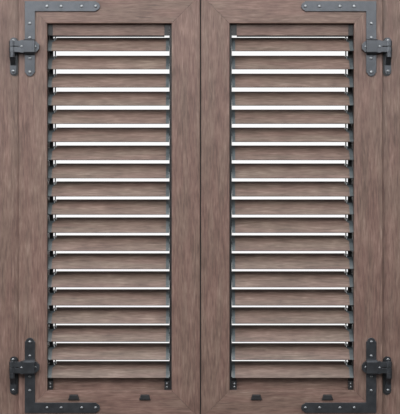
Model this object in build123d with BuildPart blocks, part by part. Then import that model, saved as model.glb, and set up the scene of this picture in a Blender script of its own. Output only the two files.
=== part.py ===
from build123d import *
import os
from math import cos, radians, sin

# A pair of louvred shutters in their outer frame, in millimetres.
# +X is to the right seen from outside, +Y runs into the wall, +Z is up.
# The origin is the centre of the frame's underside, midway between its front and its back.

# Louvre slats
SLAT_COUNT = 19
SLAT_PITCH = 50.0
SLAT_CHORD = 58.0
SLAT_THICKNESS = 10.0
SLAT_EDGE = 2.4
SLAT_FLAT = 18.0
SLAT_REST_TILT = 45.0
PIN_RADIUS = 3.6
PIN_FLATS = 1.6
PIN_REACH = 3.4
PIN_PLAY = 0.15
PIN_HOLE_SIDES = 4
PIN_HOLE_DEPTH = 4.5

# Hinge side cap of a slat, and the notch in that corner
HINGE_CAP_WIDTH = 10.5
CAP_SIDE_GAP = 0.5
NOTCH_START = 13.0
LINING_START = 2.0
NOTCH_SIDE_GAP = 1.0

# Tilt bar: a flat bar and a rod joined by rungs, each rung in the fork of one slat
CRANK_RADIUS = 18.0
CRANK_DROP = 30.0
BAR_WIDTH = 11.6
BAR_THICKNESS = 3.0
BAR_TOP_END = 22.0
BAR_BOTTOM_END = 12.0
BAR_SIDE_GAP = 0.6
LADDER_GAP = 3.6
ROD_SIZE = 3.3
RUNG_RADIUS = 1.5
RUNG_SIDES = 4
RUNG_PLAY = 0.1
FORK_WIDTH = 7.6
FORK_TIP = 2.5
FORK_LENGTH = 6.0
FORK_THICKNESS = 2.6
FORK_LET_IN = 1.0
FORK_ROOT_WIDTH = 5.0
FORK_ROOT_TOP = 3.0
FORK_ROOT_BOTTOM = 8.0
PULL_HEIGHT = 34.0
PULL_TIP_HEIGHT = 20.0
PULL_DEPTH = 15.0

# Leaf profile, the same on its four sides
OPENING_WIDTH = 342.0
END_SPACE = 54.0
STILE_FACE = 78.0
LEAF_DEPTH = 60.0
LIP_WIDTH = 19.0
LIP_THICKNESS = 8.0
GROOVE_WIDTH = 24.0
GROOVE_DEPTH = 4.0
LEAF_CHAMFER = 1.5
MITRE_GAP = 0.2
SEAM = 0.1

# Carriers that hold the pins, closing strips above and below the slats, and their brackets
CARRIER_PLAY = 0.2
CARRIER_STAND = 6.5
TOP_FILLER_SETBACK = 17.0
BOTTOM_FILLER_SETBACK = 30.5
FILLER_THICKNESS = 4.0
TOP_FILLER_HEIGHT = 30.8
BOTTOM_FILLER_HEIGHT = 34.0
BRACKET_WIDTH = 13.5
BRACKET_STAND = 0.5
LOWER_BRACKET_HEIGHT = 23.5
FILLER_SEAL_HEIGHT = 3.5

# Gap between the leaves, and its rubber strips
MEETING_GAP = 3.0
SEAL_SETBACK = 3.0
SEAL_WIDTH = 3.0
SEAL_STAND = 1.0

# Outer frame and the seal in its rebate
EDGE_GAP = 2.0
FRAME_FACE = 60.0
FRAME_FLAT = 45.0
FRAME_DEPTH = 60.0
LEAF_CLEARANCE = 3.0
SLOPE_DEPTH = 3.5
LEAF_PROUD = 8.5
GASKET_INSET = 4.0
GASKET_WIDTH = 6.0
GASKET_CLEARANCE = 0.3

# Fixing holes through the jambs, into the sides of the wall opening
FIXING_RADIUS = 3.5
FIXING_SPACING = 900.0
FIXING_Y = 8.0

# L-shaped corner straps
STRAP_INSET = 17.5
STRAP_WIDTH = 28.0
STRAP_ARM = 206.0
STRAP_THICKNESS = 4.0
STRAP_CHAMFER = 1.2
NOSE_RADIUS = 11.5
NOSE_REACH = 9.6
STRAP_SCREW_PLACES = (61.0, 100.0, 156.0)

# Hinge arms, clamped over the straps: sizes forward are from the leaf's face
HINGE_FROM_CORNER = 126.0
BLOCK_WIDTH = 30.0
BLOCK_HEIGHT = 40.0
BLOCK_DEPTH = 21.5
BLOCK_CHAMFER = 4.5
WING_REACH = 27.0
WING_HEIGHT = 35.0
WING_CHAMFER = 4.0
EAR_HEIGHT = 30.0
EAR_REACH = 26.5
EAR_CHAMFER = 8.5
EAR_DEPTH = 13.0
KNUCKLE_RADIUS = 8.0
KNUCKLE_HEIGHT = 14.5
KNUCKLE_GAP = 2.0
NECK_THICKNESS = 9.0

# Hinge pins on their screw plates
HINGE_OUTSET = 15.5
HINGE_PROUD = 15.0
HINGE_PIN_RADIUS = 4.0
HINGE_PIN_PLAY = 0.05
HINGE_PIN_TOP = 1.5
POST_WIDTH = 14.4
POST_CHAMFER = 4.0
POST_HEIGHT = 13.5
POST_GAP = 0.3
GUSSET_HEIGHT = 20.0
PIN_PLATE_WIDTH = 17.5
PIN_PLATE_LENGTH = 101.0
PIN_PLATE_THICKNESS = 4.0
PIN_PLATE_DROP = 23.0
PIN_PLATE_SCREW_INSET = 8.5

# Screw heads
SCREW_RADIUS = 4.2
SCREW_HEAD = 2.4
SCREW_SIDES = 6

# Drain slot caps on the bottom rails
DRAIN_LENGTH = 33.0
DRAIN_HEIGHT = 16.0
DRAIN_THICKNESS = 6.0
DRAIN_SLOPE = 72.0
DRAIN_TAPER = 18.0
DRAIN_SPACING = 195.0
DRAIN_DROP = 18.0

# Sizes that follow from the ones above
OPENING_HEIGHT = (SLAT_COUNT - 1) * SLAT_PITCH + 2 * END_SPACE
LEAF_WIDTH = OPENING_WIDTH + 2 * STILE_FACE
LEAF_HEIGHT = OPENING_HEIGHT + 2 * STILE_FACE
LEAF_EDGE = LEAF_WIDTH + MEETING_GAP / 2
REBATE_WIDTH = LIP_WIDTH + EDGE_GAP - LEAF_CLEARANCE
FRAME_WIDTH = 2 * (LEAF_EDGE + EDGE_GAP + FRAME_FACE)
FRAME_HEIGHT = LEAF_HEIGHT + 2 * (EDGE_GAP + FRAME_FACE)
MIDDLE_Z = FRAME_HEIGHT / 2
FRAME_FRONT = -FRAME_DEPTH / 2
REBATE_Y = FRAME_FRONT + SLOPE_DEPTH
LEAF_FRONT = FRAME_FRONT - LEAF_PROUD
PIVOT_Y = LEAF_FRONT + LEAF_DEPTH / 2
LEAF_MIDDLE_X = -LEAF_EDGE + LEAF_WIDTH / 2
OPENING_X = -LEAF_EDGE + STILE_FACE

# Places along a slat, from the opening's edge on the hinge side
CAP_START = CAP_SIDE_GAP
CAP_END = CAP_START + HINGE_CAP_WIDTH
BAR_END_X = BAR_SIDE_GAP + BAR_WIDTH
ROD_START = BAR_END_X + LADDER_GAP
NOTCH_END = ROD_START + ROD_SIZE + NOTCH_SIDE_GAP
FORK_START = BAR_END_X + (LADDER_GAP - FORK_THICKNESS) / 2
BLADE_END = OPENING_WIDTH - CARRIER_STAND - CAP_SIDE_GAP

# The cranks' places at rest, behind each slat's pivot and a little above it
CRANK_ANGLE = radians(SLAT_REST_TILT - CRANK_DROP)
CRANK_Y = PIVOT_Y + CRANK_RADIUS * cos(CRANK_ANGLE)
CRANK_RISE = CRANK_RADIUS * sin(CRANK_ANGLE)
PIVOT_HEIGHTS = [MIDDLE_Z + ((SLAT_COUNT - 1) / 2 - row) * SLAT_PITCH for row in range(SLAT_COUNT)]

# Places of the closing strips and their brackets across the opening, and each strip's setback,
# its underside from the middle height, and its height
BRACKET_PLACES = (SEAM, OPENING_WIDTH - CARRIER_STAND - BRACKET_WIDTH - SEAM)
FILLER_START = BRACKET_PLACES[0] + BRACKET_WIDTH + SEAM
FILLER_END = BRACKET_PLACES[1] - SEAM
FILLER_ROWS = (
    (TOP_FILLER_SETBACK, OPENING_HEIGHT / 2 - SEAM - TOP_FILLER_HEIGHT, TOP_FILLER_HEIGHT),
    (BOTTOM_FILLER_SETBACK, -OPENING_HEIGHT / 2 + SEAM, BOTTOM_FILLER_HEIGHT),
)

# Places of the straps and hinges on the left leaf, from its middle height
STRAP_X = -LEAF_EDGE + STRAP_INSET
STRAP_TOP = LEAF_HEIGHT / 2 - STRAP_INSET
ARM_X = STRAP_X + STRAP_WIDTH / 2
ARM_TOP = STRAP_TOP - STRAP_WIDTH / 2
NOSE_PLACE = STRAP_ARM - NOSE_RADIUS
STRAP_FRONT = LEAF_FRONT - STRAP_THICKNESS
HINGE_LEVEL = STRAP_TOP - HINGE_FROM_CORNER
HINGE_X = -LEAF_EDGE - HINGE_OUTSET
HINGE_Y = LEAF_FRONT - HINGE_PROUD
PIN_PLATE_FRONT = FRAME_FRONT - PIN_PLATE_THICKNESS
KNUCKLE_BOTTOM = -KNUCKLE_HEIGHT - KNUCKLE_GAP / 2
POST_TOP = KNUCKLE_BOTTOM - POST_GAP

os.makedirs("parts", exist_ok=True)


def facing(depth):
    """The upright plane at this depth that faces outwards, its origin at the frame's middle height."""
    return Plane((0, depth, MIDDLE_Z), x_dir=(1, 0, 0), z_dir=(0, -1, 0))


def across(x):
    """The plane across the slats at this x: its own x runs into the wall, its own y runs up."""
    return Plane((x, 0, 0), x_dir=(0, 1, 0), z_dir=(1, 0, 0))


def save(piece, label):
    piece.part.label = label
    export_step(piece.part, f"parts/{label}.step")


def save_pair(piece, label):
    """Write a piece of the left leaf, and its mirror image on the right leaf."""
    save(piece, f"left_{label}")
    with BuildPart() as mirrored:
        mirror(piece.part, about=Plane.YZ)
    save(mirrored, f"right_{label}")


def mitred_ring(section, width, height, middle_x, front):
    """Four members of one section round a rectangle, cut at 45 degrees and a hairline apart."""
    left, right = middle_x - width / 2, middle_x + width / 2
    bottom, top = MIDDLE_Z - height / 2, MIDDLE_Z + height / 2
    with BuildLine() as path:
        Polyline(
            (middle_x, front, bottom),
            (left, front, bottom),
            (left, front, top),
            (right, front, top),
            (right, front, bottom),
            close=True,
        )
    with BuildPart() as ring:
        with BuildSketch(Plane((middle_x, front, bottom), x_dir=(0, 0, 1), z_dir=(-1, 0, 0))):
            add(section.sketch)
        sweep(path=path.wire(), transition=Transition.RIGHT)
        with BuildSketch(facing(front)):
            for side, level in ((-1, -1), (-1, 1), (1, 1), (1, -1)):
                with Locations((middle_x + side * width / 2, level * height / 2)):
                    Rectangle(width / 2, MITRE_GAP, rotation=45 * side * level)
        extrude(amount=LEAF_DEPTH + FRAME_DEPTH, both=True, mode=Mode.SUBTRACT)
    return ring


# Outer frame: section from its outer edge inwards, and from its face into the wall
with BuildSketch() as frame_section:
    Polygon(
        (0, 0),
        (FRAME_FLAT, 0),
        (FRAME_FACE, SLOPE_DEPTH),
        (FRAME_FACE + REBATE_WIDTH, SLOPE_DEPTH),
        (FRAME_FACE + REBATE_WIDTH, FRAME_DEPTH),
        (0, FRAME_DEPTH),
        align=None,
    )
frame_ring = mitred_ring(frame_section, FRAME_WIDTH, FRAME_HEIGHT, 0, FRAME_FRONT)
with BuildPart() as outer_frame:
    add(frame_ring.part)
    with BuildSketch(across(-FRAME_WIDTH / 2)):
        with Locations((FIXING_Y, MIDDLE_Z)):
            with GridLocations(0, FIXING_SPACING, 1, 2):
                Circle(FIXING_RADIUS)
    extrude(amount=FRAME_WIDTH, mode=Mode.SUBTRACT)
save(outer_frame, "outer_frame")

# Seal in the frame's rebate, behind the leaves' lips
with BuildPart() as frame_gasket:
    with BuildSketch(facing(REBATE_Y)):
        seal_width, seal_height = 2 * (LEAF_EDGE - GASKET_INSET), LEAF_HEIGHT - 2 * GASKET_INSET
        Rectangle(seal_width, seal_height)
        Rectangle(seal_width - 2 * GASKET_WIDTH, seal_height - 2 * GASKET_WIDTH, mode=Mode.SUBTRACT)
    extrude(amount=REBATE_Y - LEAF_FRONT - LIP_THICKNESS - GASKET_CLEARANCE)
save(frame_gasket, "frame_gasket")

# Hinge pins: a screw plate, a post that stands forward on a gusset, and the pin that rises from it
with BuildPart() as left_pins:
    with BuildSketch(facing(FRAME_FRONT)):
        with Locations((HINGE_X, HINGE_LEVEL - PIN_PLATE_DROP), (HINGE_X, -HINGE_LEVEL - PIN_PLATE_DROP)):
            SlotOverall(PIN_PLATE_LENGTH, PIN_PLATE_WIDTH, rotation=90)
    extrude(amount=PIN_PLATE_THICKNESS)
    for level in (MIDDLE_Z + HINGE_LEVEL, MIDDLE_Z - HINGE_LEVEL):
        with BuildSketch(Plane.XY.offset(level + POST_TOP)) as post:
            with Locations((HINGE_X, HINGE_Y)):
                Rectangle(POST_WIDTH, POST_WIDTH)
                Rectangle(POST_WIDTH, PIN_PLATE_FRONT - HINGE_Y, align=(Align.CENTER, Align.MIN))
            chamfer(post.vertices().group_by(Axis.Y)[0], POST_CHAMFER)
        extrude(amount=-POST_HEIGHT)
        with BuildSketch(across(HINGE_X)):
            with Locations((PIN_PLATE_FRONT, level + POST_TOP - POST_HEIGHT)):
                Polygon((0, 0), (HINGE_Y - PIN_PLATE_FRONT, 0), (0, -GUSSET_HEIGHT), align=None)
        extrude(amount=POST_WIDTH / 2, both=True)
        with BuildSketch(Plane.XY.offset(level + POST_TOP)):
            with Locations((HINGE_X, HINGE_Y)):
                Circle(HINGE_PIN_RADIUS)
        extrude(amount=POST_GAP + 2 * KNUCKLE_HEIGHT + KNUCKLE_GAP + HINGE_PIN_TOP)
with BuildPart() as hinge_pins:
    add(left_pins.part)
    mirror(left_pins.part, about=Plane.YZ)
save(hinge_pins, "hinge_pins")

# Screws of the pin plates
with BuildPart() as left_plate_screws:
    with BuildSketch(facing(PIN_PLATE_FRONT)):
        for level in (HINGE_LEVEL, -HINGE_LEVEL):
            with Locations((HINGE_X, level - PIN_PLATE_DROP)):
                with GridLocations(0, PIN_PLATE_LENGTH - 2 * PIN_PLATE_SCREW_INSET, 1, 2):
                    RegularPolygon(SCREW_RADIUS, SCREW_SIDES)
    extrude(amount=SCREW_HEAD)
with BuildPart() as pin_plate_screws:
    add(left_plate_screws.part)
    mirror(left_plate_screws.part, about=Plane.YZ)
save(pin_plate_screws, "pin_plate_screws")

# Leaf frame: section from the leaf's edge inwards, and from its face into the wall
with BuildSketch() as leaf_section:
    groove_start = (LEAF_DEPTH - GROOVE_WIDTH) / 2
    Polygon(
        (0, 0),
        (STILE_FACE, 0),
        (STILE_FACE, groove_start),
        (STILE_FACE - GROOVE_DEPTH, groove_start),
        (STILE_FACE - GROOVE_DEPTH, groove_start + GROOVE_WIDTH),
        (STILE_FACE, groove_start + GROOVE_WIDTH),
        (STILE_FACE, LEAF_DEPTH),
        (LIP_WIDTH, LEAF_DEPTH),
        (LIP_WIDTH, LIP_THICKNESS),
        (0, LIP_THICKNESS),
        align=None,
    )
    chamfer(leaf_section.vertices().group_by(Axis.Y)[0], LEAF_CHAMFER)
leaf_frame = mitred_ring(leaf_section, LEAF_WIDTH, LEAF_HEIGHT, LEAF_MIDDLE_X, LEAF_FRONT)
save_pair(leaf_frame, "leaf_frame")

# Rubber strips: one on the meeting edge, and one under the upper closing strip
with BuildPart() as leaf_gaskets:
    with BuildSketch(facing(LEAF_FRONT + SEAL_SETBACK + SEAL_WIDTH)):
        with Locations((-MEETING_GAP / 2, 0)):
            Rectangle(SEAL_STAND, LEAF_HEIGHT, align=(Align.MIN, Align.CENTER))
    extrude(amount=SEAL_WIDTH)
    setback, underside, height = FILLER_ROWS[0]
    with BuildSketch(facing(LEAF_FRONT + setback)):
        with Locations((OPENING_X + FILLER_START, underside - SEAM)):
            Rectangle(FILLER_END - FILLER_START, FILLER_SEAL_HEIGHT, align=(Align.MIN, Align.MAX))
    extrude(amount=-FILLER_THICKNESS)
save_pair(leaf_gaskets, "leaf_gaskets")

# Carriers in the stiles' grooves, flush on the hinge side and standing out on the meeting side,
# and the brackets that hold the closing strips, the lower ones with a block that stands forward
with BuildPart() as carriers:
    for face_x, side, thickness in (
        (OPENING_X, -1, GROOVE_DEPTH - SEAM),
        (OPENING_X + OPENING_WIDTH - CARRIER_STAND, 1, CARRIER_STAND + GROOVE_DEPTH - SEAM),
    ):
        with BuildSketch(across(face_x)):
            with Locations((PIVOT_Y, MIDDLE_Z)):
                Rectangle(GROOVE_WIDTH - 2 * CARRIER_PLAY, OPENING_HEIGHT - 2 * SEAM)
        extrude(amount=side * thickness)
        with BuildSketch(across(face_x)):
            with Locations(*[(PIVOT_Y, height) for height in PIVOT_HEIGHTS]):
                RegularPolygon(PIN_RADIUS + PIN_PLAY, PIN_HOLE_SIDES, major_radius=False)
        extrude(amount=side * PIN_HOLE_DEPTH, mode=Mode.SUBTRACT)
    for setback, underside, height in FILLER_ROWS:
        with BuildSketch(facing(LEAF_FRONT + setback - BRACKET_STAND)):
            with Locations(*[(OPENING_X + place, underside) for place in BRACKET_PLACES]):
                Rectangle(BRACKET_WIDTH, height, align=(Align.MIN, Align.MIN))
        extrude(amount=-FILLER_THICKNESS - BRACKET_STAND)
    with BuildSketch(facing(LEAF_FRONT + BOTTOM_FILLER_SETBACK)):
        with Locations(*[(OPENING_X + place, -OPENING_HEIGHT / 2 + SEAM) for place in BRACKET_PLACES]):
            Rectangle(BRACKET_WIDTH, LOWER_BRACKET_HEIGHT, align=(Align.MIN, Align.MIN))
    extrude(amount=BOTTOM_FILLER_SETBACK - TOP_FILLER_SETBACK + BRACKET_STAND)
save_pair(carriers, "carriers")

# Closing strips above and below the slats, between their brackets, the lower one with a foot
# that fills the rail's groove
with BuildPart() as fillers:
    for setback, underside, height in FILLER_ROWS:
        with BuildSketch(facing(LEAF_FRONT + setback)):
            with Locations((OPENING_X + FILLER_START, underside)):
                Rectangle(FILLER_END - FILLER_START, height, align=(Align.MIN, Align.MIN))
        extrude(amount=-FILLER_THICKNESS)
    with BuildSketch(facing(PIVOT_Y + GROOVE_WIDTH / 2 - CARRIER_PLAY)):
        with Locations((OPENING_X + FILLER_START, -OPENING_HEIGHT / 2 + SEAM)):
            Rectangle(FILLER_END - FILLER_START, GROOVE_DEPTH, align=(Align.MIN, Align.MAX))
    extrude(amount=GROOVE_WIDTH - 2 * CARRIER_PLAY)
save_pair(fillers, "fillers")

# Corner straps: two arms from one corner, each stepping down to a round nose
with BuildPart() as corner_straps:
    with BuildSketch(facing(LEAF_FRONT)) as strap_outline:
        with Locations((STRAP_X, STRAP_TOP)):
            Rectangle(STRAP_WIDTH, STRAP_ARM - NOSE_REACH, align=(Align.MIN, Align.MAX))
            Rectangle(STRAP_ARM - NOSE_REACH, STRAP_WIDTH, align=(Align.MIN, Align.MAX))
        lower_end = strap_outline.vertices().group_by(Axis.Y)[0]
        inner_end = strap_outline.vertices().group_by(Axis.X)[-1]
        chamfer(lower_end + inner_end, STRAP_CHAMFER)
        with Locations((ARM_X, STRAP_TOP - NOSE_PLACE)):
            Circle(NOSE_RADIUS)
        with Locations((STRAP_X + NOSE_PLACE, ARM_TOP)):
            Circle(NOSE_RADIUS)
        mirror(about=Plane.XZ)
    extrude(amount=STRAP_THICKNESS)
save_pair(corner_straps, "corner_straps")

# Hinge arms: a block over the strap, a wing and an ear beside it, and two knuckles on necks
with BuildPart() as hinge_arms:
    block_places = Locations((ARM_X, HINGE_LEVEL), (ARM_X, -HINGE_LEVEL))
    with BuildSketch(facing(LEAF_FRONT)):
        with block_places:
            Rectangle(BLOCK_WIDTH, BLOCK_HEIGHT)
    extrude(amount=BLOCK_DEPTH)
    chamfer(hinge_arms.edges().filter_by(Axis.X).group_by(Axis.Y)[0], BLOCK_CHAMFER)
    with BuildSketch(facing(LEAF_FRONT)) as wings:
        with block_places:
            Rectangle(WING_REACH, WING_HEIGHT, align=(Align.MAX, Align.CENTER))
        chamfer(wings.vertices().group_by(Axis.X)[0], WING_CHAMFER)
    extrude(amount=HINGE_PROUD + NECK_THICKNESS / 2)
    with BuildSketch(facing(LEAF_FRONT)) as ears:
        with block_places:
            Rectangle(EAR_REACH, EAR_HEIGHT, align=(Align.MIN, Align.CENTER))
        chamfer(ears.vertices().group_by(Axis.X)[-1], EAR_CHAMFER)
    extrude(amount=EAR_DEPTH)
    for level in (MIDDLE_Z + HINGE_LEVEL, MIDDLE_Z - HINGE_LEVEL):
        for bottom in (KNUCKLE_BOTTOM, KNUCKLE_GAP / 2):
            with BuildSketch(Plane.XY.offset(level + bottom)):
                with Locations((HINGE_X, HINGE_Y)):
                    Circle(KNUCKLE_RADIUS)
                    neck = ARM_X - WING_REACH - HINGE_X + BLOCK_CHAMFER
                    Rectangle(neck, NECK_THICKNESS, align=(Align.MIN, Align.CENTER))
                    Circle(HINGE_PIN_RADIUS + HINGE_PIN_PLAY, mode=Mode.SUBTRACT)
            extrude(amount=KNUCKLE_HEIGHT)
    with BuildSketch(facing(LEAF_FRONT)):
        with block_places:
            Rectangle(STRAP_WIDTH + 2 * SEAM, 2 * BLOCK_HEIGHT)
    extrude(amount=STRAP_THICKNESS + SEAM, mode=Mode.SUBTRACT)
save_pair(hinge_arms, "hinge_arms")

# Screws of the straps
with BuildPart() as strap_screws:
    with BuildSketch(facing(STRAP_FRONT)):
        for place in STRAP_SCREW_PLACES + (NOSE_PLACE,):
            with Locations((ARM_X, STRAP_TOP - place), (STRAP_X + place, ARM_TOP)):
                RegularPolygon(SCREW_RADIUS, SCREW_SIDES)
        mirror(about=Plane.XZ)
    extrude(amount=SCREW_HEAD)
save_pair(strap_screws, "strap_screws")

# Drain slot caps on the bottom rail
with BuildPart() as drain_caps:
    with BuildSketch(facing(LEAF_FRONT)):
        with Locations((LEAF_MIDDLE_X, -OPENING_HEIGHT / 2 - DRAIN_DROP)):
            with GridLocations(DRAIN_SPACING, 0, 2, 1):
                Trapezoid(DRAIN_LENGTH, DRAIN_HEIGHT, DRAIN_SLOPE)
    extrude(amount=DRAIN_THICKNESS, taper=DRAIN_TAPER)
save_pair(drain_caps, "drain_caps")

# A slat's section: a flat middle that tapers to both edges, with its chord along x
upper_side = [
    (-SLAT_CHORD / 2, SLAT_EDGE / 2),
    (-SLAT_FLAT / 2, SLAT_THICKNESS / 2),
    (SLAT_FLAT / 2, SLAT_THICKNESS / 2),
    (SLAT_CHORD / 2, SLAT_EDGE / 2),
]
lower_side = [(x, -y) for x, y in reversed(upper_side)]
with BuildSketch() as slat_section:
    Polygon(*upper_side, *lower_side, align=None)

# The pins of a slat: tongues whose rounded edges turn in the carriers' holes
with BuildSketch() as pin_section:
    Circle(PIN_RADIUS)
    Rectangle(2 * PIN_RADIUS, PIN_FLATS, mode=Mode.INTERSECT)

# Slat blade with its meeting side pin, drawn level with its pivot on the X axis,
# and notched where the tilt bar passes
with BuildPart() as blade:
    with BuildSketch(across(CAP_END + SEAM)):
        add(slat_section.sketch)
    extrude(amount=BLADE_END - CAP_END - SEAM)
    with BuildSketch(across(BLADE_END)):
        add(pin_section.sketch)
    extrude(amount=CAP_SIDE_GAP + PIN_REACH)
    with BuildSketch(Plane.XY):
        Polygon(
            (CAP_START, LINING_START),
            (CAP_END, LINING_START),
            (NOTCH_END, NOTCH_START),
            (NOTCH_END, SLAT_CHORD),
            (CAP_START, SLAT_CHORD),
            align=None,
        )
    extrude(amount=SLAT_THICKNESS, both=True, mode=Mode.SUBTRACT)

# Hinge side cap: a block that ends short of the tilt bar and widens along the notch, fork and pin
with BuildPart() as hinge_cap:
    with BuildSketch(across(CAP_START)):
        add(slat_section.sketch)
    extrude(amount=NOTCH_END - CAP_START)
    with BuildSketch(Plane.XY):
        Polygon(
            (CAP_START, -SLAT_CHORD),
            (CAP_END, -SLAT_CHORD),
            (CAP_END, LINING_START + SEAM),
            (NOTCH_END - SEAM, NOTCH_START),
            (CAP_START, NOTCH_START),
            align=None,
        )
    extrude(amount=SLAT_THICKNESS, both=True, mode=Mode.INTERSECT)
    with BuildSketch(across(FORK_START)):
        with Locations((NOTCH_START - FORK_LET_IN, -FORK_ROOT_BOTTOM)):
            Rectangle(FORK_ROOT_WIDTH, FORK_ROOT_BOTTOM + FORK_ROOT_TOP, align=(Align.MIN, Align.MIN))
        with PolarLocations(CRANK_RADIUS + FORK_TIP, 1, start_angle=-CRANK_DROP):
            Rectangle(FORK_LENGTH, FORK_WIDTH, align=(Align.MAX, Align.CENTER))
        with PolarLocations(CRANK_RADIUS - RUNG_RADIUS - RUNG_PLAY, 1, start_angle=-CRANK_DROP):
            slot = 2 * (RUNG_RADIUS + RUNG_PLAY)
            Rectangle(FORK_LENGTH, slot, align=(Align.MIN, Align.CENTER), mode=Mode.SUBTRACT)
    extrude(amount=FORK_THICKNESS)
    with BuildSketch(across(CAP_START)):
        add(pin_section.sketch)
    extrude(amount=-CAP_SIDE_GAP - PIN_REACH)

# The slats in their rows, numbered from the top, with their front edges down
for row, height in enumerate(PIVOT_HEIGHTS):
    with BuildPart() as slat:
        with Locations(Location((OPENING_X, PIVOT_Y, height), (SLAT_REST_TILT, 0, 0))):
            add(blade.part)
            add(hinge_cap.part)
    save_pair(slat, f"slat_{row + 1:02d}")

# Tilt bar: flat bar, rod and rungs, the middle one round, with a finger pull on the room side
with BuildPart() as tilt_bar:
    bar_bottom = PIVOT_HEIGHTS[-1] + CRANK_RISE - BAR_BOTTOM_END
    bar_top = PIVOT_HEIGHTS[0] + CRANK_RISE + BAR_TOP_END
    with BuildSketch(Plane.XY.offset(bar_bottom)):
        with Locations((OPENING_X + BAR_SIDE_GAP, CRANK_Y)):
            Rectangle(BAR_WIDTH, BAR_THICKNESS, align=(Align.MIN, Align.CENTER))
        with Locations((OPENING_X + ROD_START, CRANK_Y)):
            Rectangle(ROD_SIZE, ROD_SIZE, align=(Align.MIN, Align.CENTER))
    extrude(amount=bar_top - bar_bottom)
    with BuildSketch(across(OPENING_X + BAR_END_X)):
        rungs = [(CRANK_Y, height + CRANK_RISE) for height in PIVOT_HEIGHTS]
        middle_rung = rungs.pop(SLAT_COUNT // 2)
        with Locations(*rungs):
            RegularPolygon(RUNG_RADIUS, RUNG_SIDES, rotation=CRANK_DROP)
        with Locations(middle_rung):
            Circle(RUNG_RADIUS)
    extrude(amount=LADDER_GAP)
    with BuildSketch(across(OPENING_X + BAR_SIDE_GAP)):
        with Locations((CRANK_Y + BAR_THICKNESS / 2, MIDDLE_Z + CRANK_RISE)):
            Polygon(
                (0, -PULL_HEIGHT / 2),
                (PULL_DEPTH, -PULL_TIP_HEIGHT / 2),
                (PULL_DEPTH, PULL_TIP_HEIGHT / 2),
                (0, PULL_HEIGHT / 2),
                align=None,
            )
    extrude(amount=BAR_WIDTH)
save_pair(tilt_bar, "tilt_bar")
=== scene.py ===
from itertools import product
from math import cos, pi, radians, sin

import bmesh
import bpy
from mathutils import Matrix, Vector


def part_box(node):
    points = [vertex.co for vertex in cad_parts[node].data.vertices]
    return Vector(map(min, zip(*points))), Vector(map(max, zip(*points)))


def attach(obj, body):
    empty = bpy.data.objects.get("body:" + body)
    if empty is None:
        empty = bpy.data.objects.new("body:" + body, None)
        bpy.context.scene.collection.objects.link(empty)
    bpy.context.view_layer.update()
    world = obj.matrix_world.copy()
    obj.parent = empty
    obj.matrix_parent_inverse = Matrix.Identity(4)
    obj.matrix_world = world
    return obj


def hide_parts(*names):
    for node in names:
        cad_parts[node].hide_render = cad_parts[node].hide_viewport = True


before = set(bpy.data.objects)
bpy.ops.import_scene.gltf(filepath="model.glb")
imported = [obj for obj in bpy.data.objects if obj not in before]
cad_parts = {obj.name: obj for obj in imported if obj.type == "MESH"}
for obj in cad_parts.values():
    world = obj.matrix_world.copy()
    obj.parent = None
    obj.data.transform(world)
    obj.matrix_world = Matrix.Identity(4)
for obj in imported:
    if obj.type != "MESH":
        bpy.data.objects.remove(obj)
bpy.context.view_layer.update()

# Lengths are in metres. +X is to the right seen from outside, +Y runs into the wall, +Z is up.

# Camera: straight in front, level, at the frame's middle height
EYE_HEIGHT = 0.644
CAMERA_OFFSET_X = -0.0016
CAMERA_DISTANCE = 3.5
LENS = 110.9
SENSOR_HEIGHT = 36.0

# The leaves: the depth of their front face, and the way from each leaf to the middle of the pair
LEAF_FRONT = -0.0385
TOWARD_MIDDLE = {"left": 1, "right": -1}

# Edges and shading
MERGE_DISTANCE = 0.00001
FLAT_ANGLE = radians(1)
SHARP_ANGLE = radians(25)
SMOOTH_ANGLE = radians(35)
BLADE_SMOOTH_ANGLE = radians(20)
WOOD_EDGE = 0.0005
METAL_EDGE = 0.0007
SMALL_EDGE = 0.0003
BEVEL_STEPS = 2

# Slats: the plastic cap on the meeting side, the shortest solid that counts as a blade,
# and how near its front or back a point lies that counts as on its widest part
MEETING_CAP = 0.009
BLADE_LENGTH = 0.2
SECTION_EDGE = 0.003

# Domed screw heads: the rise, the socket's radius and depth, and its lobes, as shares of the radius
HEAD_RADIUS = 0.0042
SMALL_HEAD_RADIUS = 0.0031
HEAD_RISE = 0.6
DOME_POWER = 4
HEAD_STEPS = 36
HEAD_RINGS = 5
SOCKET_RADIUS = 0.46
SOCKET_DEPTH = 0.4
LOBES = 6
LOBE_DEPTH = 0.16

# Small screws on the lower brackets of the closing strips: in from the bracket's side, and up
BRACKET_MIDDLE = 0.00675
BRACKET_SCREW_HEIGHTS = (0.0075, 0.0165)
BRACKET_BLOCK_HEIGHT = 0.0235

# A tongue of a slat's hinge side cap that runs back between the tilt bar's two rails:
# across the opening from its edge, and along the slat's chord from its pivot
TONGUE_PLACE = (0.0126, 0.0154)
TONGUE_ALONG = (0.0122, 0.0272)
TONGUE_HALF_THICKNESS = 0.0008

# How far a slat's pin reaches past the opening's edge, and the slats' tilt at rest
PIN_REACH = 0.0034
REST_TILT = radians(45)

# Small screws of a hinge arm, on its ear and its wing: from the ear's tip, and forward of the leaf
ARM_SCREWS = ((0.010, 0.013), (0.047, 0.0195))

# Black sheets under the pin plates, a painted shadow of the plates: wider than the plate toward the leaf
# and round its lower end
SHADOW_SHEET_SIDE = 0.0045
SHADOW_SHEET_THICKNESS = 0.0012
SHADOW_SHEET_CORNER_STEPS = 16

# The rubber strips of the meeting edge: how far the soft lips reach past the solid strip
LIP_REACH = 0.00094

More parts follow.
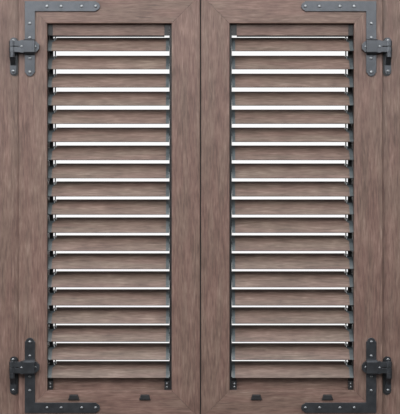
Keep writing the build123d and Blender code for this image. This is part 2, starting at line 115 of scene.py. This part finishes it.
# Wood-effect coating: noises with their scale across the grain, each one's weight in the tone,
# and the share of the scale that is left along the grain
STREAKS = {"scale": 210.0, "detail": 4.0, "roughness": 0.62, "distortion": 0.3}
FIGURE = {"scale": 60.0, "detail": 2.0, "distortion": 1.6}
FIBRES = {"scale": 480.0, "detail": 3.0}
CLOUDS = {"scale": 14.0, "detail": 3.0}
HUES = {"scale": 34.0, "detail": 2.0}
STREAK_WEIGHT = 0.34
FIGURE_WEIGHT = 0.22
FIBRE_WEIGHT = 0.24
CLOUD_WEIGHT = 0.2
ALONG_GRAIN = 0.12
ALONG_FIBRES = 0.07

# Wood-effect coating: display colours from dark to light, tints from red to green, and gloss
WOOD_TONES = ((0.36, (82, 63, 56)), (0.47, (106, 84, 76)), (0.54, (120, 97, 88)), (0.63, (140, 118, 108)))
WOOD_TINTS = ((0.4, (1.0, 0.945, 0.945, 1.0)), (0.6, (0.965, 0.99, 0.965, 1.0)))
WOOD_ROUGHNESS = (0.4, 0.58)
WOOD_BUMP = 0.22

# Satin coats: orange peel and larger patches, their weights, the ramp's ends, and the roughness
# that the patches take off and add
PEEL = {"scale": 900.0, "detail": 2.0}
PATCHES = {"scale": 45.0, "detail": 3.0}
PEEL_WEIGHT = 0.45
PATCH_WEIGHT = 0.55
COAT_DARK_END = 0.35
COAT_LIGHT_END = 0.68
COAT_SMOOTHER = 0.06
COAT_ROUGHER = 0.08
COAT_BUMP = 0.25

# Screw steel and rubber: noise, display colours and gloss
STEEL_SPOTS = {"scale": 700.0, "detail": 2.0}
STEEL_TONES = ((0.3, (140, 143, 146)), (0.7, (160, 163, 166)))
STEEL_ROUGHNESS = (0.24, 0.34)
RUBBER_DUST = {"scale": 300.0, "detail": 3.0}
RUBBER_TONES = ((0.35, (18, 18, 19)), (0.75, (36, 36, 37)))
RUBBER_ROUGHNESS = 0.8
RUBBER_BUMP = 0.2
BUMP_DISTANCE = 0.0002

# Floor: where it starts to fade to white, and the share of the radius where it is all white
FLOOR_RADIUS = 1.25
FLOOR_SIDES = 96
FLOOR_FADE = 0.65
FLOOR_WHITE = 0.96
FLOOR_ROUGHNESS = 0.9
FLOOR_SEEN = (0.8, 0.8, 0.8, 1.0)
FLOOR_UNSEEN = (0.07, 0.07, 0.07, 1.0)

# Sky: light from below to above between two heights, and from in front to behind between two depths
SKY_BELOW_ABOVE = (0.03, 1.0)
SKY_HEIGHTS = (-0.05, 0.45)
SKY_FRONT_BEHIND = (1.0, 0.08)
SKY_DEPTHS = (-0.4, 0.5)
WHITE = (1.0, 1.0, 1.0, 1.0)

# Lights: name, width and height, place, power
LIGHTS = (
    ("front_light", (5.6, 3.2), (-0.6, -3.7, 4.1), 168.0),
    ("low_front_light", (3.0, 0.4), (-0.3, -1.9, 1.5), 13.0),
    ("back_light", (2.6, 1.2), (0.5, 3.4, 0.4), 45.0),
    ("left_light", (1.2, 2.6), (-3.6, -1.9, 1.7), 48.0),
    ("right_light", (1.2, 2.6), (3.6, -2.1, 1.8), 30.0),
)
LIGHTS_AIM = Vector((0.0, 0.0, EYE_HEIGHT))


# Materials

def srgb(red, green, blue):
    """A display colour, 0 to 255, as the linear colour that a shader takes."""
    def channel(value):
        value /= 255
        return value / 12.92 if value <= 0.04045 else ((value + 0.055) / 1.055) ** 2.4
    return channel(red), channel(green), channel(blue), 1.0


def tones(stops, warmth=0, coolness=0):
    """A ramp's stops with their display colours made linear. Coolness adds green and blue."""
    return [
        (position, srgb(red + warmth, green + coolness, blue + coolness))
        for position, (red, green, blue) in stops
    ]


def new_material(name):
    """A node material, its tree and its shader."""
    material = bpy.data.materials.new(name)
    material.use_nodes = True
    return material, material.node_tree, material.node_tree.nodes["Principled BSDF"]


def add_node(tree, kind, values=None, **settings):
    """A node with its settings, its input values by name, and links where a value is a socket."""
    node = tree.nodes.new(kind)
    for setting, value in settings.items():
        setattr(node, setting, value)
    for name, value in (values or {}).items():
        if isinstance(value, bpy.types.NodeSocket):
            tree.links.new(value, node.inputs[name])
        else:
            node.inputs[name].default_value = value
    return node


def object_place(tree):
    """The place on the object, which moves with the piece."""
    return add_node(tree, "ShaderNodeTexCoord").outputs["Object"]


def drawn_out(tree, place, along, share):
    """The place with one axis shrunk to a share, which draws a noise out along it."""
    scale = [share if axis == along else 1.0 for axis in "xyz"]
    return add_node(tree, "ShaderNodeMapping", {"Vector": place, "Scale": scale}).outputs["Vector"]


def noise(tree, vector, scale, detail=3.0, roughness=0.55, distortion=0.0):
    """A noise, from 0 to 1."""
    values = {
        "Vector": vector,
        "Scale": scale,
        "Detail": detail,
        "Roughness": roughness,
        "Distortion": distortion,
    }
    return add_node(tree, "ShaderNodeTexNoise", values).outputs["Fac"]


def combined(tree, operation, one, other):
    """Two sockets or numbers put through one Math node."""
    return add_node(tree, "ShaderNodeMath", {0: one, 1: other}, operation=operation).outputs[0]


def weighted(tree, parts):
    """The sum of each socket times its weight."""
    total = None
    for socket, weight in parts:
        scaled = combined(tree, "MULTIPLY", socket, weight)
        total = scaled if total is None else combined(tree, "ADD", total, scaled)
    return total


def ramp(tree, socket, stops):
    """A colour from the stops, where each is a position and a linear colour."""
    node = add_node(tree, "ShaderNodeValToRGB", {"Fac": socket})
    elements = node.color_ramp.elements
    while len(elements) < len(stops):
        elements.new(0.5)
    for element, (position, colour) in zip(elements, stops):
        element.position = position
        element.color = colour
    return node.outputs["Color"]


def to_range(tree, socket, low, high, start=0.0, end=1.0):
    """A value that goes from low to high as the socket goes from start to end, and no further."""
    values = {"Value": socket, "From Min": start, "From Max": end, "To Min": low, "To Max": high}
    return add_node(tree, "ShaderNodeMapRange", values).outputs["Result"]


def bump(tree, shader, height, strength):
    """Fine relief from a noise, put on the shader."""
    values = {"Height": height, "Distance": BUMP_DISTANCE, "Strength": strength}
    tree.links.new(add_node(tree, "ShaderNodeBump", values).outputs["Normal"], shader.inputs["Normal"])


def wood_effect(name, along, warmth=0, coolness=0):
    """Brown wood-effect coating with its grain along one axis: streaks, fibres and a drawn-out figure."""
    material, tree, shader = new_material(name)
    place = object_place(tree)
    drawn = drawn_out(tree, place, along, ALONG_GRAIN)
    streaks = noise(tree, drawn, **STREAKS)
    fibres = noise(tree, drawn_out(tree, place, along, ALONG_FIBRES), **FIBRES)
    clouds = noise(tree, place, **CLOUDS)
    figure = noise(tree, drawn, **FIGURE)
    parts = (
        (streaks, STREAK_WEIGHT),
        (figure, FIGURE_WEIGHT),
        (fibres, FIBRE_WEIGHT),
        (clouds, CLOUD_WEIGHT),
    )
    tone = ramp(tree, weighted(tree, parts), tones(WOOD_TONES, warmth, coolness))
    tint = ramp(tree, noise(tree, drawn, **HUES), WOOD_TINTS)
    tinted = add_node(tree, "ShaderNodeVectorMath", {0: tone, 1: tint}, operation="MULTIPLY")
    tree.links.new(tinted.outputs["Vector"], shader.inputs["Base Color"])
    tree.links.new(to_range(tree, fibres, *WOOD_ROUGHNESS), shader.inputs["Roughness"])
    bump(tree, shader, fibres, WOOD_BUMP)
    return material


def satin_coat(name, colour, lighter, roughness, metallic=0.0):
    """Satin dark coating or plastic with a fine orange-peel surface."""
    material, tree, shader = new_material(name)
    place = object_place(tree)
    peel = noise(tree, place, **PEEL)
    patches = noise(tree, place, **PATCHES)
    tone = weighted(tree, [(peel, PEEL_WEIGHT), (patches, PATCH_WEIGHT)])
    stops = tones([(COAT_DARK_END, colour), (COAT_LIGHT_END, lighter)])
    tree.links.new(ramp(tree, tone, stops), shader.inputs["Base Color"])
    gloss = to_range(tree, patches, roughness - COAT_SMOOTHER, roughness + COAT_ROUGHER)
    tree.links.new(gloss, shader.inputs["Roughness"])
    shader.inputs["Metallic"].default_value = metallic
    bump(tree, shader, peel, COAT_BUMP)
    return material


def screw_metal(name):
    """Bright steel of the screw heads."""
    material, tree, shader = new_material(name)
    spots = noise(tree, object_place(tree), **STEEL_SPOTS)
    tree.links.new(ramp(tree, spots, tones(STEEL_TONES)), shader.inputs["Base Color"])
    shader.inputs["Metallic"].default_value = 1.0
    tree.links.new(to_range(tree, spots, *STEEL_ROUGHNESS), shader.inputs["Roughness"])
    return material


def rubber(name):
    """Dull black rubber with a little dust."""
    material, tree, shader = new_material(name)
    dust = noise(tree, object_place(tree), **RUBBER_DUST)
    tree.links.new(ramp(tree, dust, tones(RUBBER_TONES)), shader.inputs["Base Color"])
    shader.inputs["Roughness"].default_value = RUBBER_ROUGHNESS
    bump(tree, shader, dust, RUBBER_BUMP)
    return material


upright_wood = wood_effect("wood_effect_upright", "z")
level_wood = wood_effect("wood_effect_level", "x", warmth=2, coolness=2)
slat_wood = wood_effect("wood_effect_slats", "x", coolness=5)
hardware_coat = satin_coat("hardware_coat", (74, 77, 81), (93, 96, 101), roughness=0.34, metallic=0.85)
black_plastic = satin_coat("moulded_plastic", (30, 30, 32), (46, 47, 49), roughness=0.42)
cap_plastic = satin_coat("cap_plastic", (58, 64, 67), (100, 108, 111), roughness=0.3)
screw_steel = screw_metal("screw_steel")
seal_rubber = rubber("seal_rubber")


# Shapes taken from the frame's nodes

def cad_mesh(node):
    """A merged copy of a node's mesh, with its flat faces whole."""
    mesh = bmesh.new()
    mesh.from_mesh(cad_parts[node].data)
    bmesh.ops.remove_doubles(mesh, verts=mesh.verts, dist=MERGE_DISTANCE)
    bmesh.ops.dissolve_limit(mesh, angle_limit=FLAT_ANGLE, verts=mesh.verts, edges=mesh.edges)
    return mesh


def solids(mesh):
    """The mesh's separate solids, each as a list of its vertices."""
    found = []
    seen = set()
    for start in mesh.verts:
        if start in seen:
            continue
        seen.add(start)
        solid = [start]
        for vertex in solid:
            for edge in vertex.link_edges:
                other = edge.other_vert(vertex)
                if other not in seen:
                    seen.add(other)
                    solid.append(other)
        found.append(solid)
    return found


def span(solid, axis):
    """Where a solid starts and ends along an axis."""
    places = [vertex.co[axis] for vertex in solid]
    return min(places), max(places)


def is_blade(solid):
    """Whether a slat's solid is the long one, its blade."""
    start, end = span(solid, 0)
    return end - start > BLADE_LENGTH


def face_ends(blade):
    """Where a blade's widest section starts and ends along x, without its pin."""
    front, back = span(blade, 1)
    wide = [vertex for vertex in blade if min(vertex.co.y - front, back - vertex.co.y) < SECTION_EDGE]
    return span(wide, 0)


def keep_side(mesh, x, side):
    """Cut the mesh at x, keep the part on that side of the cut, and close it."""
    cut = bmesh.ops.bisect_plane(
        mesh,
        geom=mesh.verts[:] + mesh.edges[:] + mesh.faces[:],
        plane_co=(x, 0, 0),
        plane_no=(side, 0, 0),
        clear_inner=True,
    )
    rim = [part for part in cut["geom_cut"] if isinstance(part, bmesh.types.BMEdge)]
    bmesh.ops.contextual_create(mesh, geom=rim)


def round_edges(mesh, width):
    """Round the edges where two faces meet at more than the sharp angle."""
    sharp = [edge for edge in mesh.edges if edge.is_manifold and edge.calc_face_angle() > SHARP_ANGLE]
    bmesh.ops.bevel(
        mesh,
        geom=sharp,
        offset=width,
        segments=BEVEL_STEPS,
        profile=0.5,
        affect="EDGES",
        clamp_overlap=True,
        material=-1,
    )


def finished_piece(mesh, name, body, materials, smooth_angle=SMOOTH_ANGLE, even=True):
    """The mesh as a smooth-shaded object that rides on a body."""
    bmesh.ops.recalc_face_normals(mesh, faces=mesh.faces)
    for face in mesh.faces:
        face.smooth = True
    for edge in mesh.edges:
        edge.smooth = edge.is_manifold and edge.calc_face_angle() < smooth_angle
    data = bpy.data.meshes.new(name)
    mesh.to_mesh(data)
    mesh.free()
    piece = bpy.data.objects.new(name, data)
    bpy.context.scene.collection.objects.link(piece)
    for material in materials:
        data.materials.append(material)
    if even:
        normals = piece.modifiers.new("even_normals", "WEIGHTED_NORMAL")
        normals.keep_sharp = True
    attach(piece, body)
    return piece


def dressed(node, body, material, width):
    """A node's own form with its edges rounded, which replaces it."""
    mesh = cad_mesh(node)
    round_edges(mesh, width)
    piece = finished_piece(mesh, f"{node}_finished", body, [material])
    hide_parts(node)


def mitred_frame(node, body):
    """A mitred frame with the grain of each member along its length."""
    low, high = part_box(node)
    mesh = cad_mesh(node)
    round_edges(mesh, WOOD_EDGE)
    for face in mesh.faces:
        centre = face.calc_center_median()
        from_side = min(centre.x - low.x, high.x - centre.x)
        from_end = min(centre.z - low.z, high.z - centre.z)
        face.material_index = 0 if from_side < from_end else 1
    piece = finished_piece(mesh, f"{node}_finished", body, [upright_wood, level_wood])
    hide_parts(node)


def slat(side, node, body):
    """A slat as its blade and its two plastic caps."""
    toward_middle = TOWARD_MIDDLE[side]
    blade_mesh, cap_mesh, tip_mesh = cad_mesh(node), cad_mesh(node), cad_mesh(node)
    blade_low, blade_high = face_ends(next(solid for solid in solids(blade_mesh) if is_blade(solid)))
    cut_x = blade_high - MEETING_CAP if side == "left" else blade_low + MEETING_CAP
    for mesh, blade_wanted in ((blade_mesh, True), (cap_mesh, False), (tip_mesh, True)):
        unwanted = [vertex for solid in solids(mesh) if is_blade(solid) != blade_wanted for vertex in solid]
        bmesh.ops.delete(mesh, geom=unwanted, context="VERTS")
    keep_side(blade_mesh, cut_x, -toward_middle)
    keep_side(tip_mesh, cut_x, toward_middle)
    low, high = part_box(node)
    opening_x = low.x + PIN_REACH if side == "left" else high.x - PIN_REACH
    add_cap_tongue(cap_mesh, toward_middle, (low + high) / 2, opening_x)
    for mesh in (blade_mesh, cap_mesh, tip_mesh):
        round_edges(mesh, SMALL_EDGE)
    blade = finished_piece(
        blade_mesh, f"{node}_blade", body, [slat_wood], BLADE_SMOOTH_ANGLE, even=False
    )
    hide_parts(node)
    finished_piece(cap_mesh, f"{node}_hinge_side_cap", body, [cap_plastic])
    finished_piece(tip_mesh, f"{node}_meeting_side_cap", body, [cap_plastic])


def add_cap_tongue(mesh, toward_middle, pivot, opening_x):
    """Add a slat's tongue, which closes the notch between the tilt bar's two rails."""
    corners = []
    for across in TONGUE_PLACE:
        for along, lift in product(TONGUE_ALONG, (-TONGUE_HALF_THICKNESS, TONGUE_HALF_THICKNESS)):
            depth = pivot.y + along * cos(REST_TILT) - lift * sin(REST_TILT)
            height = pivot.z + along * sin(REST_TILT) + lift * cos(REST_TILT)
            corners.append(mesh.verts.new((opening_x + toward_middle * across, depth, height)))
    for face in ((0, 1, 3, 2), (4, 5, 7, 6), (0, 1, 5, 4), (2, 3, 7, 6), (0, 2, 6, 4), (1, 3, 7, 5)):
        mesh.faces.new([corners[place] for place in face])


def meeting_lips(side, body):
    """The rubber strips of a leaf, with the one at the meeting edge drawn out into a lip."""
    node = f"{side}_leaf_gaskets"
    mesh = cad_mesh(node)
    for solid in solids(mesh):
        across, up = span(solid, 0), span(solid, 2)
        if up[1] - up[0] > across[1] - across[0]:
            edge_x = across[1] if side == "left" else across[0]
            for vertex in solid:
                if abs(vertex.co.x - edge_x) < MERGE_DISTANCE:
                    vertex.co.x += TOWARD_MIDDLE[side] * LIP_REACH
    round_edges(mesh, SMALL_EDGE)
    piece = finished_piece(mesh, f"{node}_finished", body, [seal_rubber])
    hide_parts(node)


# Screws

def add_screw_head(mesh, middle, radius):
    """A domed head that faces outwards, with a lobed socket: rings of points joined by faces."""
    rise = radius * HEAD_RISE
    socket_rim = radius * SOCKET_RADIUS
    floor_depth = rise - radius * SOCKET_DEPTH
    rings = []
    for ring in range(HEAD_RINGS):
        share = 1 - ring / HEAD_RINGS * (1 - SOCKET_RADIUS)
        rings.append((radius * share, rise * (1 - share ** DOME_POWER) ** 0.5, 0.0))
    rings.append((socket_rim, rise, LOBE_DEPTH))
    rings.append((socket_rim, floor_depth, LOBE_DEPTH))
    last_ring = None
    for reach, height, lobe in rings:
        points = []
        for step in range(HEAD_STEPS):
            angle = 2 * pi * step / HEAD_STEPS
            out = reach * (1 + lobe * cos(LOBES * angle))
            points.append(mesh.verts.new(middle + Vector((out * cos(angle), -height, out * sin(angle)))))
        if last_ring:
            for step in range(HEAD_STEPS):
                after = (step + 1) % HEAD_STEPS
                mesh.faces.new((last_ring[step], last_ring[after], points[after], points[step]))
        else:
            mesh.faces.new(points)
        last_ring = points
    mesh.faces.new(last_ring)


def screw_heads(name, node, body, places, radius):
    """Domed heads at these places, which replace a node's plain ones where it is named."""
    mesh = bmesh.new()
    for place in places:
        add_screw_head(mesh, place, radius)
    piece = finished_piece(mesh, name, body, [screw_steel], even=False)
    if node:
        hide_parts(node)


def seats(node):
    """Where each of a node's screw heads sits: its middle, on the surface behind it."""
    mesh = cad_mesh(node)
    found = []
    for solid in solids(mesh):
        across, depth, up = (span(solid, axis) for axis in range(3))
        found.append(Vector((sum(across) / 2, depth[1], sum(up) / 2)))
    mesh.free()
    return found


def bracket_screws(side, body):
    """Two small screws on the block of each lower bracket."""
    mesh = cad_mesh(f"{side}_carriers")
    bottom = min(vertex.co.z for vertex in mesh.verts)
    places = []
    for solid in solids(mesh):
        across, depth, up = (span(solid, axis) for axis in range(3))
        low_enough = up[0] - bottom < BRACKET_BLOCK_HEIGHT
        if low_enough and up[1] - up[0] < 2 * BRACKET_BLOCK_HEIGHT:
            middle_x = across[0] + BRACKET_MIDDLE
            places += [Vector((middle_x, depth[0], up[0] + height)) for height in BRACKET_SCREW_HEIGHTS]
    mesh.free()
    screw_heads(f"{side}_bracket_screws", None, body, places, SMALL_HEAD_RADIUS)


def arm_screws(side, body):
    """The small screws on the ear and the wing of each hinge arm."""
    mesh = cad_mesh(f"{side}_hinge_arms")
    places = []
    for solid in solids(mesh):
        across, up = span(solid, 0), span(solid, 2)
        tip = across[1] if side == "left" else across[0]
        for from_tip, forward in ARM_SCREWS:
            screw_x = tip - TOWARD_MIDDLE[side] * from_tip
            places.append(Vector((screw_x, LEAF_FRONT - forward, sum(up) / 2)))
    mesh.free()
    screw_heads(f"{side}_arm_screws", None, body, places, SMALL_HEAD_RADIUS)


# Painted shadows of the pin plates

def plate_shadow_sheets():
    """Thin black sheets between the pin plates and the outer frame, showing on the leaf's side and below
    each plate: the plates' painted shadow.
    """
    plates = cad_mesh("hinge_pins")
    mesh = bmesh.new()
    for solid in solids(plates):
        back = span(solid, 1)[1]
        plate = [vertex for vertex in solid if back - vertex.co.y < MERGE_DISTANCE]
        left, right = span(plate, 0)
        bottom, top = span(plate, 2)
        radius = (right - left) / 2 + SHADOW_SHEET_SIDE / 2
        inward = 1 if left < 0 else -1
        middle_x = (left + right) / 2 + inward * SHADOW_SHEET_SIDE / 2
        # The sheet reaches out toward the leaf and down past the plate's lower end, where its painted
        # shadow falls
        outline = []
        for end, start_angle in ((top - radius, 0.0), (bottom + radius - SHADOW_SHEET_SIDE, pi)):
            for step in range(SHADOW_SHEET_CORNER_STEPS + 1):
                angle = start_angle + pi * step / SHADOW_SHEET_CORNER_STEPS
                outline.append((middle_x + radius * cos(angle), end + radius * sin(angle)))
        behind = [mesh.verts.new((x, back, z)) for x, z in outline]
        ahead = [mesh.verts.new((x, back - SHADOW_SHEET_THICKNESS, z)) for x, z in outline]
        mesh.faces.new(behind)
        mesh.faces.new(ahead)
        for one in range(len(outline)):
            other = (one + 1) % len(outline)
            mesh.faces.new((behind[one], behind[other], ahead[other], ahead[one]))
    plates.free()
    finished_piece(mesh, "pin_plate_shadow_sheets", "outer_frame", [black_plastic])


# The object

mitred_frame("outer_frame", "outer_frame")
dressed("frame_gasket", "outer_frame", seal_rubber, SMALL_EDGE)
dressed("hinge_pins", "outer_frame", hardware_coat, METAL_EDGE)
plate_seats = seats("pin_plate_screws")
screw_heads("pin_plate_screw_heads", "pin_plate_screws", "outer_frame", plate_seats, HEAD_RADIUS)
# Black sheets that paint the pin plates' shadow on the frame
plate_shadow_sheets()

for side in TOWARD_MIDDLE:
    leaf = f"{side}_leaf"
    mitred_frame(f"{side}_leaf_frame", leaf)
    dressed(f"{side}_fillers", leaf, level_wood, WOOD_EDGE)
    meeting_lips(side, leaf)
    dressed(f"{side}_carriers", leaf, black_plastic, SMALL_EDGE)
    bracket_screws(side, leaf)
    arm_screws(side, leaf)
    dressed(f"{side}_drain_caps", leaf, black_plastic, METAL_EDGE)
    dressed(f"{side}_corner_straps", leaf, hardware_coat, METAL_EDGE)
    dressed(f"{side}_hinge_arms", leaf, hardware_coat, METAL_EDGE)
    dressed(f"{side}_tilt_bar", f"{side}_tilt_bar", black_plastic, SMALL_EDGE)
    strap_seats = seats(f"{side}_strap_screws")
    screw_heads(f"{side}_strap_screw_heads", f"{side}_strap_screws", leaf, strap_seats, HEAD_RADIUS)
    for node in sorted(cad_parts):
        if node.startswith(f"{side}_slat_"):
            slat(side, node, node)


# Camera, floor and lights

camera = bpy.data.objects.new("camera", bpy.data.cameras.new("camera"))
bpy.context.scene.collection.objects.link(camera)
camera.data.sensor_fit = "VERTICAL"
camera.data.sensor_height = SENSOR_HEIGHT
camera.data.lens = LENS
camera.location = (CAMERA_OFFSET_X, LEAF_FRONT - CAMERA_DISTANCE, EYE_HEIGHT)
camera.rotation_euler = (radians(90), 0, 0)
bpy.context.scene.camera = camera


def floor_material():
    """Pale for the camera, with a rim that fades to white, and dark in the light that it throws back."""
    material, tree, shader = new_material("pale_floor")
    camera_ray = add_node(tree, "ShaderNodeLightPath").outputs["Is Camera Ray"]
    # A Mix node keeps its two colours in inputs 6 and 7, and gives the mixed one from output 2
    greys = {0: camera_ray, 6: FLOOR_UNSEEN, 7: FLOOR_SEEN}
    grey = add_node(tree, "ShaderNodeMix", greys, data_type="RGBA").outputs[2]
    tree.links.new(grey, shader.inputs["Base Color"])
    shader.inputs["Roughness"].default_value = FLOOR_ROUGHNESS
    lengths = {0: object_place(tree)}
    distance = add_node(tree, "ShaderNodeVectorMath", lengths, operation="LENGTH").outputs["Value"]
    rim = to_range(tree, distance, 0.0, 1.0, FLOOR_FADE, FLOOR_RADIUS * FLOOR_WHITE)
    fade = combined(tree, "MULTIPLY", rim, camera_ray)
    white = add_node(tree, "ShaderNodeEmission", {"Color": WHITE, "Strength": 1.0}).outputs[0]
    both = add_node(tree, "ShaderNodeMixShader", {0: fade, 1: shader.outputs[0], 2: white}).outputs[0]
    tree.links.new(both, tree.nodes["Material Output"].inputs["Surface"])
    return material


floor_mesh = bmesh.new()
bmesh.ops.create_circle(floor_mesh, cap_ends=True, segments=FLOOR_SIDES, radius=FLOOR_RADIUS)
floor_data = bpy.data.meshes.new("floor")
floor_mesh.to_mesh(floor_data)
floor_mesh.free()
floor_data.materials.append(floor_material())
floor = bpy.data.objects.new("floor", floor_data)
bpy.context.scene.collection.objects.link(floor)


def soft_light(name, size, place, power):
    """A rectangular light that faces the object's middle."""
    light = bpy.data.lights.new(name, "AREA")
    light.shape = "RECTANGLE"
    light.size, light.size_y = size
    light.energy = power
    holder = bpy.data.objects.new(name, light)
    bpy.context.scene.collection.objects.link(holder)
    holder.location = place
    holder.rotation_euler = (LIGHTS_AIM - Vector(place)).to_track_quat("-Z", "Y").to_euler()


for light_row in LIGHTS:
    soft_light(*light_row)


def sky():
    """White for the camera. For light and reflections: bright in front and above, dim below and behind."""
    world = bpy.data.worlds.new("studio")
    world.use_nodes = True
    bpy.context.scene.world = world
    tree = world.node_tree
    background = tree.nodes["Background"]
    direction = add_node(tree, "ShaderNodeTexCoord").outputs["Generated"]
    parts = add_node(tree, "ShaderNodeSeparateXYZ", {"Vector": direction})
    height = to_range(tree, parts.outputs["Z"], *SKY_BELOW_ABOVE, *SKY_HEIGHTS)
    front = to_range(tree, parts.outputs["Y"], *SKY_FRONT_BEHIND, *SKY_DEPTHS)
    level = combined(tree, "MULTIPLY", height, front)
    camera_ray = add_node(tree, "ShaderNodeLightPath").outputs["Is Camera Ray"]
    tree.links.new(combined(tree, "MAXIMUM", level, camera_ray), background.inputs["Strength"])
    background.inputs["Color"].default_value = WHITE


sky()
bpy.context.scene.view_settings.view_transform = "Standard"
